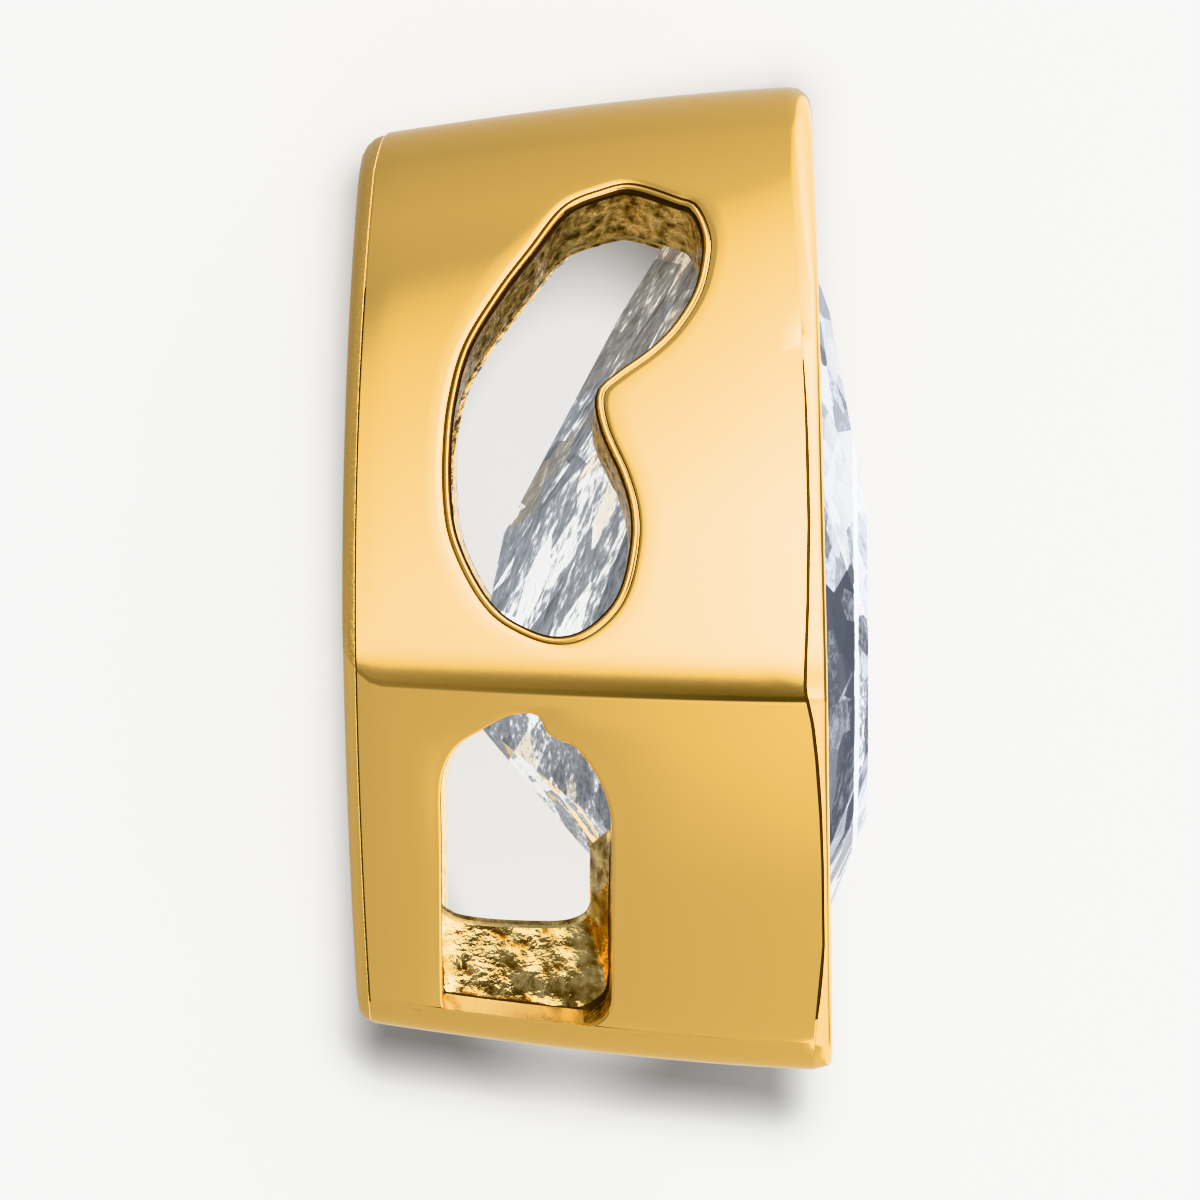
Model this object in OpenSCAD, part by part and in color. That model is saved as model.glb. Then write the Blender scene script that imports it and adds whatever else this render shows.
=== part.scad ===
// Slide pendant: a pear-cut stone, point up, held in one deep cast gold frame that narrows to the back.
// Each side wall has a comma-shaped window, through which a chain slides behind the stone,
// and an arched window below it with a ledge for a stamp.
// While it is shaped, the pendant's front is +X, its top is +Y and its mid-plane is z = 0,
// with the widest level of the stone's girdle at the origin. Then it is laid on its side.

/* [Stone] */
// Length of the stone from its point to its round end
stone_l = 9; // [8:0.1:10.5]
// Width of the stone
stone_w = 6; // [5.4:0.1:6.6]
// Height of the crown above the girdle
crown_h = 1.05; // [0.8:0.05:1.3]
// Depth of the pavilion below the girdle
pavilion_d = 2.77; // [2.3:0.05:3]
// Thickness of the girdle where its facets meet
girdle_t = 0.18; // [0.14:0.01:0.25]
// Length of the table, along the stone
table_l = 3.05; // [2.6:0.05:3.4]
// Width of the table
table_w = 3.1; // [2.8:0.05:3.4]
// Distance from the stone's round end to the table
table_end = 1.95; // [1.7:0.05:2.2]
// Slope of the two pavilion facets beside the point, as depth over width
point_slope = 0.83; // [0.78:0.01:0.92]

/* [Frame] */
// Thickness of the frame's wall
wall = 0.75; // [0.66:0.01:0.9]
// Distance that the wall reaches out past the stone's sides
side_cover = 0.6; // [0.5:0.01:0.62]
// Distance that the wall reaches past the stone's point
tip_cover = 0.31; // [0.25:0.01:0.4]
// Distance that the wall reaches past the stone's round end
end_cover = 0.55; // [0.45:0.01:0.7]
// Distance of the front edge in front of the girdle
front_reach = 0.71; // [0.55:0.01:0.85]
// Distance that the front edge leans back for each millimetre up
front_lean = 0.018; // [0:0.001:0.03]
// Distance of the back edge behind the girdle
back_reach = 4.07; // [3.8:0.01:4.5]
// Distance that the back edge bows out at its middle
back_bow = 0.14; // [0:0.01:0.2]
// Share by which the outline shrinks from the front edge to the back edge
taper = 0.105; // [0.06:0.005:0.13]
// How far the narrowing gathers at the back: 1 is a straight cone
taper_curve = 1.45; // [1:0.05:1.7]
// Height, above the stone's widest level, of the level to which it shrinks
taper_level = 1.24; // [0.8:0.02:1.6]
// Height of the side ridge above the stone's widest level
ridge_level = 0.13; // [0:0.01:0.3]
// Rise of the side ridge from front to back
ridge_rise = 0.08; // [0:0.01:0.12]
// Width of the frame's foot, between its sharp corners
foot_w = 4.3; // [4:0.05:4.6]
// Radius of the foot's corners
foot_r = 0.45; // [0.3:0.01:0.6]
// Width of the rounded front edge
front_edge = 0.2; // [0.1:0.01:0.25]
// Width of the rounded back edge
back_edge = 0.14; // [0.08:0.01:0.2]
// Width of both edges over the top, and of the front edge under the foot
top_edge = 0.27; // [0.2:0.01:0.3]
// Distance that the frame's front reaches in over the stone's edge
lip = 0.2; // [0.15:0.01:0.3]
// Depth, behind the girdle, of the collar that closes the frame's corners round the stone
collar_d = 0.4; // [0.3:0.01:0.45]
// Gap between the stone and its seat
seat_gap = 0.03; // [0.02:0.005:0.05]

/* [Comma window] */
// Height of the comma window
comma_h = 4.42; // [4.1:0.02:4.5]
// Width of the comma window from back to front
comma_w = 2.5; // [2.3:0.02:2.6]
// Distance from the back edge to the comma window
comma_back = 1.05; // [0.95:0.01:1.2]
// Height of the comma window above the side ridge
comma_foot = 0.7; // [0.6:0.01:0.76]

/* [Arched window] */
// Height of the arched window
arch_h = 3.12; // [2.9:0.02:3.16]
// Width of the arched window
arch_w = 1.7; // [1.5:0.02:1.9]
// Distance from the back edge to the arched window
arch_back = 0.97; // [0.85:0.01:1.1]
// Distance of the arched window below the side ridge
arch_drop = 0.16; // [0.12:0.01:0.24]
// Radius of the arched window's lower corners
arch_r = 0.3; // [0.2:0.01:0.4]
// Depth of the arched window's outer step
step_d = 0.5; // [0.3:0.01:0.55]
// Height of the ledge at the foot of the arched window
ledge_h = 0.44; // [0.3:0.01:0.6]
// Width of the ledge at the front of the arched window
ledge_w = 0.2; // [0.1:0.01:0.3]
// Height to which the ledge runs up the front of the arched window
ledge_arm = 1.6; // [1:0.05:1.9]

/* [Hidden] */

gold_colour = "#d9ae5c";
stone_colour = [0.86, 0.90, 0.95, 0.75];
cut = 1; // how far a cutting tool stands out of what it cuts

// The stone's outline is a half circle below its widest level and two long arcs that meet at the point.
// It is walked by a station: 0 at the point, 2 and 6 at the widest level, 4 at the round end.
function tip_l(g) = stone_l - stone_w / 2 + g;
function half_w(g) = stone_w / 2 + g;
function side_r(g) = (tip_l(g) ^ 2 + half_w(g) ^ 2) / (2 * half_w(g));
function side_turn(q, g) = asin(tip_l(g) / side_r(g)) * (1 - q / 2);

// Height, width and outward direction of the outline at station q on the near half, for a stone grown by g
function near_half(q, g) =
    q <= 2
        ? let (t = side_turn(q, g)) [
            side_r(g) * sin(t), side_r(g) * cos(t) - side_r(g) + half_w(g), sin(t), cos(t)]
        : let (t = (q - 2) * 45) [
            -half_w(g) * sin(t), half_w(g) * cos(t), -sin(t), cos(t)];
function outline(q, g) =
    q <= 4 ? near_half(q, g)
        : let (p = near_half(8 - q, g)) [p[0], -p[1], p[2], -p[3]];
function flat(p) = [p[0], p[1]];
function way(p) = [p[2], p[3]];

// The main facets lie at the half stations. Each is a plane that holds the outline's tangent there,
// so its height above the girdle is its slope times the distance inwards.
mains = [0.5 : 1 : 7.5];
function table_corner(q) =
    let (
        p = outline(q, 0),
        low = outline(3.5, 0)[0],
        high = outline(0.5, 0)[0],
        wide = outline(1.5, 0)[1]
    )
    [table_end - stone_w / 2 + (p[0] - low) / (high - low) * table_l, p[1] / wide * table_w / 2];
function crown_slope(q, g) =
    let (p = outline(q, g))
    (crown_h + g) / ((flat(p) - table_corner(q)) * way(p));
function pavilion_slope(q, g) =
    let (p = outline(q, g))
    q == 0.5 || q == 7.5 ? point_slope : (pavilion_d + g) / (flat(p) * way(p));

// Where two neighbouring main facets, at the half stations a and b, are at one height h off the girdle
function meet(a, b, slope_a, slope_b, h, g) =
    let (
        p = outline(a, g), r = outline(b, g),
        c = flat(p) * way(p) - h / slope_a,
        d = flat(r) * way(r) - h / slope_b,
        det = p[2] * r[3] - p[3] * r[2]
    )
    [(c * r[3] - d * p[3]) / det, (d * p[2] - c * r[2]) / det];
function before(j) = j == 0 ? 7.5 : j - 0.5;

crown_meet = 0.66;    // share of the crown's height at which its stars end
pavilion_meet = 0.45; // share of the pavilion's depth at which its lower halves end
function crown_corner(j, g) =
    let (h = crown_meet * (crown_h + g), a = before(j), b = j + 0.5)
    concat(meet(a, b, crown_slope(a, g), crown_slope(b, g), h, g), h);
function pavilion_corner(j, g) =
    let (h = pavilion_meet * (pavilion_d + g), a = before(j), b = j + 0.5)
    concat(meet(a, b, pavilion_slope(a, g), pavilion_slope(b, g), h, g), h);

// Between a whole and a half station lies one flat half facet, so the girdle's edge dips along it.
function dip(q, corner, g) =
    let (
        j = round(q), side = q > j ? 0.5 : -0.5,
        o = flat(outline(j % 8, g)),
        e = flat(outline((j + side + 8) % 8, g)) - o,
        m = flat(corner) - o,
        v = flat(outline(q, g)) - o,
        det = e[0] * m[1] - e[1] * m[0]
    )
    corner[2] * (e[0] * v[1] - e[1] * v[0]) / det;

girdle_steps = 4; // steps along each half facet
girdle_stations = [0 : 1 / (2 * girdle_steps) : 8 - 1 / (2 * girdle_steps)];
lip_stations = concat(0, [for (q = girdle_stations) q + 1 / (3 * girdle_steps)]);
function solid_point(p, h) = [h, p[0], p[1]];

// Where the facets beside the point cross the next ones, on the mid-plane
function keel(g) =
    let (
        p = outline(0.5, g), r = outline(1.5, g),
        s = point_slope, t = pavilion_slope(1.5, g),
        u = (s * (flat(p) * way(p)) - t * (flat(r) * way(r))) / (s * p[2] - t * r[2])
    )
    [u, s * (flat(p) * way(p) - p[2] * u)];

function stone_points(g) =
    let (half = girdle_t / 2 + g, k = keel(g))
    concat(
        [for (q = mains) solid_point(table_corner(q), half + crown_h + g)],
        [for (j = [0 : 7]) let (c = crown_corner(j, g)) solid_point(c, half + c[2])],
        [for (q = girdle_stations)
            solid_point(outline(q, g), half + dip(q, crown_corner(round(q) % 8, g), g))],
        [for (q = girdle_stations)
            solid_point(outline(q, g), -half - dip(q, pavilion_corner(round(q) % 8, g), g))],
        [for (j = [0 : 7]) let (c = pavilion_corner(j, g)) solid_point(c, -half - c[2])],
        [[-half - k[1], k[0], 0], [-half - pavilion_d - g, 0, 0]]
    );

// The frame's outline at the front edge, as height, half width and outward direction. Its sides run
// beside the stone's, a round top joins them, and two flat flanks run from the side ridges to the foot.
arc_r = side_r(0) + side_cover;
arc_c = side_r(0) - half_w(0);
top_u = tip_l(0) + tip_cover;
foot_u = -half_w(0) - end_cover;
top_r = (arc_r ^ 2 - arc_c ^ 2 - top_u ^ 2) / (2 * (arc_r - top_u));
top_c = top_u - top_r;
join_turn = atan(top_c / arc_c);
ridge_turn = asin(ridge_level / arc_r);
ridge_w = arc_r * cos(ridge_turn) - arc_c;
flank_turn = atan((ridge_w - foot_w / 2) / (ridge_level - foot_u));

top_steps = 6;
side_steps = 9;
foot_steps = 5;
foot_tangent = foot_r * tan((90 - flank_turn) / 2);
half_outline = concat(
    [for (i = [0 : top_steps - 1]) let (t = 90 - (90 - join_turn) * i / top_steps)
        [top_c + top_r * sin(t), top_r * cos(t), sin(t), cos(t)]],
    [for (i = [0 : side_steps - 1]) let (t = join_turn - (join_turn - ridge_turn) * i / side_steps)
        [arc_r * sin(t), arc_r * cos(t) - arc_c, sin(t), cos(t)]],
    [let (t = (ridge_turn - flank_turn) / 2) [ridge_level, ridge_w, sin(t), cos(t)]],
    [for (i = [0 : foot_steps]) let (t = flank_turn + (90 - flank_turn) * i / foot_steps)
        [foot_u + foot_r - foot_r * sin(t), foot_w / 2 - foot_tangent + foot_r * cos(t), -sin(t), cos(t)]]
);
function both_halves(half) =
    concat(half, [for (i = [len(half) - 1 : -1 : 1]) let (p = half[i]) [p[0], -p[1], p[2], -p[3]]]);
frame_outline = both_halves(half_outline);
// Inside the wall the foot's corners are sharp
bore_outline = both_halves(concat(
    [for (i = [0 : top_steps + side_steps]) half_outline[i]],
    [[foot_u, foot_w / 2, -1, tan((90 - flank_turn) / 2)]]
));

// The outline shrinks from the front to the back, slowly at first. Depths are shares of the frame's depth.
frame_mid = (top_u + foot_u) / 2;
frame_half = (top_u - foot_u) / 2;
depth = front_reach + back_reach;
waist = [0.36, 0.8]; // shares at which the wall bends on its way back
function share(f) = max(0, front_reach - f) / depth;
function shrink(f) = 1 - taper * share(f) ^ taper_curve;
function ridge_u(f) = ridge_level + ridge_rise * share(f) ^ 2;
function front_f(u) = front_reach - front_lean * u;
function front_point(p, inset) = let (u = p[0] - inset * p[2]) [front_f(u), u, p[1] - inset * p[3]];
function back_f(u) = -back_reach + back_bow * ((u - frame_mid) / frame_half) ^ 2;
function edge(width, turn) = width + (top_edge - width) * max(0, turn) ^ 3;
function frame_point(p, f, inset) =
    let (u = p[0] == ridge_level ? ridge_u(f) : p[0])
    [f, taper_level + (u - taper_level) * shrink(f) - inset * p[2], p[1] * shrink(f) - inset * p[3]];
round_share = 0.3; // how far an edge's middle lies from its corner, as a share of its width
frame_points = [for (p = frame_outline)
    let (front = edge(front_edge, abs(p[2])), back = edge(back_edge, p[2]), f = front_f(p[0]), b = back_f(p[0]))
    each [
        frame_point(p, b, back),
        frame_point(p, b + back * round_share, back * round_share),
        frame_point(p, b + back, 0),
        for (x = waist) frame_point(p, front_reach - x * depth, 0),
        frame_point(p, f - front, 0),
        frame_point(p, f - front * round_share, front * round_share),
        front_point(p, front)
    ]];

// Half width of the frame, and how far its wall leans, at height u and depth f
function front_u(u, f) = taper_level + (u - taper_level) / shrink(f);
function half_width(u, f) =
    let (v = front_u(u, f))
    shrink(f) * (v < ridge_u(f) ? ridge_w - (ridge_u(f) - v) / (ridge_u(f) - foot_u) * (ridge_w - foot_w / 2)
        : v < arc_r * sin(join_turn) ? sqrt(arc_r ^ 2 - v ^ 2) - arc_c
        : sqrt(max(0, top_r ^ 2 - (v - top_c) ^ 2)));
function wall_turn(u, f) =
    let (v = front_u(u, f))
    v < ridge_u(f) ? -flank_turn
        : v < arc_r * sin(join_turn) ? asin(v / arc_r) : asin(min(1, (v - top_c) / top_r));
function taper_turn(u, f) =
    atan(half_width(u, f) / shrink(f) * taper * taper_curve * share(f) ^ (taper_curve - 1) / depth);

// The comma is a row of round punches, as shares of its width from the back, of its height
// from the bottom, and of its width for their radius.
comma_discs = [
    // along, up, radius
    [0.74, 0.87, 0.265],
    [0.49, 0.805, 0.290],
    [0.29, 0.55, 0.285],
    [0.31, 0.37, 0.316],
    [0.355, 0.20, 0.355]
];
comma_low = ridge_level + comma_foot;
arch_top = ridge_level - arch_drop;
arch_len = arch_h / cos(flank_turn); // along the leaning flank
arch_left = -back_reach + arch_back;

// The frame lies on its far side, on the flat strip of the side arc that lies below its centre of mass.
rest_step = top_steps + 6;
function far_point(i, x) = frame_point(frame_outline[len(frame_outline) - i], front_reach - x * depth, 0);
rest_way = cross(
    far_point(rest_step, waist[0]) - far_point(rest_step, waist[1]),
    far_point(rest_step, waist[0]) - far_point(rest_step + 1, waist[0]));
rest_turn = atan2(rest_way[1], rest_way[2]);
rest_lean = -atan2(rest_way[0], norm([rest_way[1], rest_way[2]]));
function turned(p) =
    let (
        y = p[1] * cos(rest_turn) - p[2] * sin(rest_turn),
        z = p[1] * sin(rest_turn) + p[2] * cos(rest_turn)
    )
    [p[0] * cos(rest_lean) + z * sin(rest_lean), y, z * cos(rest_lean) - p[0] * sin(rest_lean)];
lying_points = [for (p = concat(frame_points, stone_points(0))) turned(p)];
function lying(axis) = [for (p = lying_points) p[axis]];
rest_origin = [
    (min(lying(0)) + max(lying(0))) / 2,
    (min(lying(1)) + max(lying(1))) / 2,
    min(lying(2))];

module solid(points) {
    hull() polyhedron(points = points, faces = [[for (i = [0 : len(points) - 1]) i]]);
}

module laid_down() {
    translate(-rest_origin) rotate([0, rest_lean, 0]) rotate([rest_turn, 0, 0]) children();
}

// The space inside the frame: the stone's outline in the collar, and the wall's inside behind it
module bore() {
    solid([for (q = lip_stations, f = [-collar_d - cut / 2, front_reach + cut])
        solid_point(flat(outline(q, -lip)), f)]);
    solid([for (p = bore_outline, f = [-collar_d, front_reach - waist[1] * depth, -back_reach, -back_reach - cut])
        frame_point(p, f, wall)]);
}

// Turns a cutter that is drawn on z = 0 square to the wall, at depth f and height u
module on_wall(f, u) {
    translate([f, u, half_width(u, f)]) rotate([0, -taper_turn(u, f), 0]) rotate([-wall_turn(u, f), 0, 0])
        children();
}
through = wall * 1.4; // depth of a cutter that goes right through the wall

module comma_disc(i) {
    d = comma_discs[i];
    on_wall(-back_reach + comma_back + d[0] * comma_w, comma_low + d[1] * comma_h)
        translate([0, 0, -through]) cylinder(r = d[2] * comma_w, h = through + cut, $fn = 32);
}

module comma_window() {
    for (i = [1 : len(comma_discs) - 1])
        hull() {
            comma_disc(i - 1);
            comma_disc(i);
        }
}

// The arched window from outside: a half round top over two round corners
module arch() {
    hull() {
        translate([0, (arch_len - arch_w) / 2]) circle(r = arch_w / 2, $fn = 40);
        for (side = [-1, 1]) translate([side * (arch_w / 2 - arch_r), arch_r - arch_len / 2])
            circle(r = arch_r, $fn = 24);
    }
}

// The ledge inside it, along the foot and part of the way up the front
module ledge() {
    low = -arch_len / 2 - cut;
    translate([-arch_w / 2 - cut, low]) square([arch_w + 2 * cut, cut + ledge_h]);
    translate([arch_w / 2 - ledge_w, low]) square([ledge_w + cut, cut + ledge_arm]);
}

module arch_window() {
    on_wall(arch_left + arch_w / 2, arch_top - arch_h / 2) difference() {
        translate([0, 0, -through]) linear_extrude(through + cut) arch();
        translate([0, 0, -step_d - through]) linear_extrude(through) ledge();
    }
}

module setting() {
    color(gold_colour) laid_down() difference() {
        solid(frame_points);
        bore();
        solid(stone_points(seat_gap));
        for (side = [0, 1]) mirror([0, 0, side]) {
            comma_window();
            arch_window();
        }
    }
}

module stone() {
    color(stone_colour) laid_down() solid(stone_points(0));
}

setting();
stone();
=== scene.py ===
import math

import bpy
from mathutils import Matrix, Vector, noise


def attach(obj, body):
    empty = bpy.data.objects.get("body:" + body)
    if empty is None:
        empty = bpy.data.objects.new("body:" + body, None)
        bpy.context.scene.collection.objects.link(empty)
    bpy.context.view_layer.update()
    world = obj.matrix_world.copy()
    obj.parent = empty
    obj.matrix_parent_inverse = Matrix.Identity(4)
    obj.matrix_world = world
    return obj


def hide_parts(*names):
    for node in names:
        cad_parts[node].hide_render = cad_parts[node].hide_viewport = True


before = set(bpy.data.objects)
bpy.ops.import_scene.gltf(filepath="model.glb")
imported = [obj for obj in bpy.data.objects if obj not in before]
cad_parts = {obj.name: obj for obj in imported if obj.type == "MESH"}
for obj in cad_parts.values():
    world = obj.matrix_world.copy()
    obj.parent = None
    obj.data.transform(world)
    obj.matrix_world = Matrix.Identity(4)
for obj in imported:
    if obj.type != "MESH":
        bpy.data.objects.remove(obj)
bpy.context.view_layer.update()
print("frame loaded")
noise.seed_set(3)  # so that the cast surfaces come out the same each time

polished, satin, cast, groove, lumpy, mould = range(6)  # the setting's finishes, made further down, among them groove: painted shade in its grooves and creases

# The pendant is shaped in millimetres, standing up: x is its front, y its top, z the side that
# shows, with the stone's widest level at the origin. It is laid on its side at the end.
sizes = {
    "stoneLength": 9.0,
    "stoneWidth": 6.0,
    "sideCover": 0.6,          # the wall's reach past the stone's sides, point and round end
    "tipCover": 0.31,
    "endCover": 0.55,
    "frontReach": 0.71,        # front and back edges, from the girdle
    "frontLean": 0.018,
    "backReach": 4.07,
    "backBow": 0.14,
    "taper": 0.105,            # the outline shrinks by this share towards the back
    "taperCurve": 1.45,
    "taperLevel": 1.24,        # height of the point that it shrinks towards
    "ridgeLevel": 0.13,        # height of the ridge at the girdle, and its rise at the back
    "ridgeRise": 0.08,
    "ridgeHook": 0.36,         # it rises by this too in the last part before the back
    "hookFrom": 0.92,          # where that part begins, as a share of the depth
    "ridgeReach": 0.85,        # how far above the ridge the wall rises with it
    "ridgeRound": 0.035,
    "flankCrown": 0.045,       # how much the flank below the ridge bulges
    "flankEnding": 6,          # and how late the bulge fades towards the foot's corner
    "backRoll": (0.4, 0.013),  # the wheel rolls the wall off before the back edge: width, depth
    "footWidth": 4.3,
    "footRadius": 0.45,
    "innerCorner": 0.3,        # inside, the foot's corner is sharp from this far before the round one
    "wall": 0.75,
    "skin": 0.4,               # the part of the wall's thickness that polishing and wear change
    "backStart": 0.05,         # the wall's inside begins this far in from the back edge
    "frontEdge": 0.2,          # width of the edges' bevels, and of those over the top
    "backEdge": 0.14,
    "topEdge": 0.27,
    "lip": 0.2,                # reach of the front in over the stone, and the lip's round edge
    "lipRound": 0.05,
    "seat": (0.17, 0.29, -0.33),  # half its height at the stone's edge, and the levels of its slopes' ends
    "seatGap": 0.035,
    "collar": 0.4,
    "polishedOff": 0.012,      # what polishing takes off all round
    "restTurn": -13.6133,      # how it lies on its far side, in degrees and millimetres
    "restLean": -4.8524,
    "restOrigin": (-1.50737, 1.13577, -3.70915),
    "stripTilt": 15.0,         # the strip along the front edge leans to the front by this, in degrees
    "stripTiltEnds": (4.9, 3.1),  # but less from one of these heights up to the other, down to this share
    "stripTiltLeast": 0.15,
    "stripTop": (4.2, 5.7),    # it changes its section between these heights: each pair is below, above
    "stripFlat": (0.4, 0.2),   # at least this share of its width is flat
    "stripRound": (0.075, 0.275),  # the rest is round and no wider than this
    "stripDepth": (0.45, 0.85),  # and this deep, as a share of the width
    "stripDepthLeast": 0.1,
    "groove": [                # beside the strip runs a groove: share of its width, depth
        (0, 0), (0.3, 0.014), (0.65, 0.018), (1, 0.004),
    ],
    "grooveWidth": (0.036, 0.32),  # at most this, or this share of the strip
    "grooveEnds": ((4.0, 2.6), (-3.4, -2.8)),  # it comes in between these heights, at both ends
    "grooveNarrow": 0.3,       # from this share of its width
    "burnished": [             # that strip's width, as the burnisher left it: height, width
        (6.4, 0.27), (5.2, 0.25), (4.2, 0.2), (3.1, 0.17), (1.9, 0.17), (1.1, 0.197), (0.5, 0.23),
        (0.24, 0.24), (-0.1, 0.17), (-0.45, 0.134), (-1.0, 0.1), (-1.5, 0.085), (-2.3, 0.085),
        (-3.1, 0.17), (-3.6, 0.2),
    ],
    "comma": [                 # the windows' outlines on the side that shows: depth, height
        (-1.20, 5.29), (-0.73, 5.14), (-0.58, 5.08), (-0.47, 4.88), (-0.43, 4.62), (-0.52, 4.20),
        (-0.74, 3.83), (-1.00, 3.57), (-1.33, 3.33), (-1.49, 3.16), (-1.44, 2.83), (-1.25, 2.39),
        (-1.15, 2.02), (-1.15, 1.66), (-1.25, 1.22), (-1.44, 0.93), (-1.72, 0.73), (-2.02, 0.69),
        (-2.33, 0.80), (-2.59, 0.98), (-2.81, 1.28), (-3.00, 1.70), (-3.07, 2.08), (-3.08, 2.58),
        (-3.03, 3.11), (-2.88, 3.66), (-2.56, 4.20), (-2.24, 4.63), (-1.90, 5.06), (-1.53, 5.23),
    ],
    "arch": [
        (-2.41, -0.04), (-2.20, -0.02), (-2.10, -0.08), (-2.05, -0.20), (-1.95, -0.26), (-1.77, -0.34),
        (-1.61, -0.53), (-1.48, -0.77), (-1.41, -1.06), (-1.40, -1.54), (-1.41, -2.15), (-1.41, -2.80),
        (-1.44, -2.96), (-1.53, -3.06), (-1.72, -3.14), (-2.10, -3.17), (-2.52, -3.17), (-2.87, -3.12),
        (-3.02, -3.02), (-3.09, -2.89), (-3.10, -2.40), (-3.10, -1.84), (-3.10, -1.30), (-3.10, -0.75),
        (-3.04, -0.50), (-2.91, -0.32), (-2.67, -0.17),
    ],
    # the points of each outline that face its panel's corners, from the top's back one round by the front
    "commaCorners": [(-2.40, 4.42), (-0.47, 4.88), (-1.30, 1.13), (-2.70, 1.12)],
    "archCorners": [(-3.0, -0.42), (-1.60, -0.55), (-1.46, -3.0), (-3.06, -3.0)],
    "commaTop": (-1.5, 5.29),  # its highest point, and how far over it its panel begins
    "commaOver": 0.32,
    "commaFlat": 0.14,         # the wall is plain up to this distance from the comma
    "commaLip": [              # the comma's rolled lip: reach out from the hole, depth, finish, where groove is painted shade
        (0.07, 0.0, polished), (0.03, 0.003, polished), (0.008, 0.01, groove), (-0.005, 0.022, polished),
        (-0.014, 0.018, polished), (-0.022, 0.009, polished), (-0.032, 0.001, polished),
        (-0.041, -0.001, polished), (-0.05, 0.002, polished), (-0.059, 0.011, polished),
        (-0.066, 0.025, groove), (-0.086, 0.05, groove), (-0.082, 0.1, cast),
    ],
    "commaSmooth": (0.08, 0.2),  # its wall is smooth at the lip, and as rough as cast from this depth on
    "commaAskew": -0.05,       # how far the holes run askew on their way in
    "archAskew": -0.03,
    "archDip": 0.008,          # the wheel draws the wall in by this round the arch
    "archEdge": 0.03,          # the radius of the arch's round edge, and how far out it begins
    "archEdgeOut": 0.02,
    "archDipReach": 0.35,      # how far the dip reaches, as a share of the way to the panel's edge
    "stepDepth": 0.42,         # the arch's ledge lies this deep, and falls so much more to its opening
    "stepFall": 0.32,
    "ledgeTop": -1.25,         # height from which the arch narrows down to its opening, and of its full width
    "ledgeFull": -1.75,
    "ledgeSlant": 0.05,        # its foot falls by this towards the front
    "ledgeFoot": -2.38,
    "ledgeWidth": 0.24,
    "roughness": 0.014,        # unevenness of the walls as cast, and how much more the ledge has
    "ledgeRoughness": 1.3,
}
tipHeight = sizes["stoneLength"] - sizes["stoneWidth"] / 2
halfWidth = sizes["stoneWidth"] / 2
arcRadius = (tipHeight ** 2 + halfWidth ** 2) / (2 * halfWidth) + sizes["sideCover"]
arcCentre = arcRadius - sizes["sideCover"] - halfWidth
topHeight = tipHeight + sizes["tipCover"]
footHeight = -halfWidth - sizes["endCover"]
topRadius = (arcRadius ** 2 - arcCentre ** 2 - topHeight ** 2) / (2 * (arcRadius - topHeight))
topCentre = topHeight - topRadius
joinTurn = math.atan(topCentre / arcCentre)
ridgeTurn = math.asin(sizes["ridgeLevel"] / arcRadius)
ridgeWidth = arcRadius * math.cos(ridgeTurn) - arcCentre
flankTurn = math.atan((ridgeWidth - sizes["footWidth"] / 2) / (sizes["ridgeLevel"] - footHeight))
footTangent = sizes["footRadius"] * math.tan((math.pi / 2 - flankTurn) / 2)
frameDepth = sizes["frontReach"] + sizes["backReach"]

# Lengths walked along half the outline, from the middle of the top to the middle of the foot
topEnd = topRadius * (math.pi / 2 - joinTurn)
ridgeAt = topEnd + arcRadius * (joinTurn - ridgeTurn)
flankEnd = ridgeAt + (sizes["ridgeLevel"] - footHeight) / math.cos(flankTurn) - footTangent
cornerEnd = flankEnd + sizes["footRadius"] * (math.pi / 2 - flankTurn)
footEnd = cornerEnd + sizes["footWidth"] / 2 - footTangent


def sharpOutline(a):  # height, half width and outward direction at length a
    if a < topEnd:
        t = math.pi / 2 - a / topRadius
        return topCentre + topRadius * math.sin(t), topRadius * math.cos(t), math.sin(t), math.cos(t)
    if a < ridgeAt:
        t = joinTurn - (a - topEnd) / arcRadius
        return arcRadius * math.sin(t), arcRadius * math.cos(t) - arcCentre, math.sin(t), math.cos(t)
    if a < flankEnd:  # the flank is a little crowned
        d, length = a - ridgeAt, flankEnd - ridgeAt
        t = d / length
        n = sizes["flankEnding"]
        b = sizes["flankCrown"] * math.sin(math.pi * t) * (1 - t ** n)
        slope = math.pi * math.cos(math.pi * t) * (1 - t ** n) - n * t ** (n - 1) * math.sin(math.pi * t)
        turn = flankTurn - sizes["flankCrown"] * slope / length
        return (sizes["ridgeLevel"] - d * math.cos(flankTurn) - b * math.sin(flankTurn),
                ridgeWidth - d * math.sin(flankTurn) + b * math.cos(flankTurn),
                -math.sin(turn), math.cos(turn))
    if a < cornerEnd:
        t = flankTurn + (a - flankEnd) / sizes["footRadius"]
        return (footHeight + sizes["footRadius"] * (1 - math.sin(t)),
                sizes["footWidth"] / 2 - footTangent + sizes["footRadius"] * math.cos(t),
                -math.sin(t), math.cos(t))
    return footHeight, footEnd - a, -1.0, 0.0


def outlineAt(a):
    r = sizes["ridgeRound"]
    if abs(a - ridgeAt) >= r:
        return sharpOutline(a)
    k = (a - ridgeAt + r) / (2 * r)  # the ridge's crisp edge is worn round
    before, middle, after = (sharpOutline(ridgeAt + d) for d in (-r, 0, r))
    u, w = (before[i] * (1 - k) ** 2 + 2 * middle[i] * k * (1 - k) + after[i] * k ** 2 for i in (0, 1))
    turn = ridgeTurn * (1 - k) - flankTurn * k
    return u, w, math.sin(turn), math.cos(turn)


def ramp(value, zero, full):  # 0 to 1 as the value goes from zero to full
    return max(0.0, min(1.0, (value - zero) / (full - zero)))


def blend(pair, t):
    return pair[0] + (pair[1] - pair[0]) * t


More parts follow.
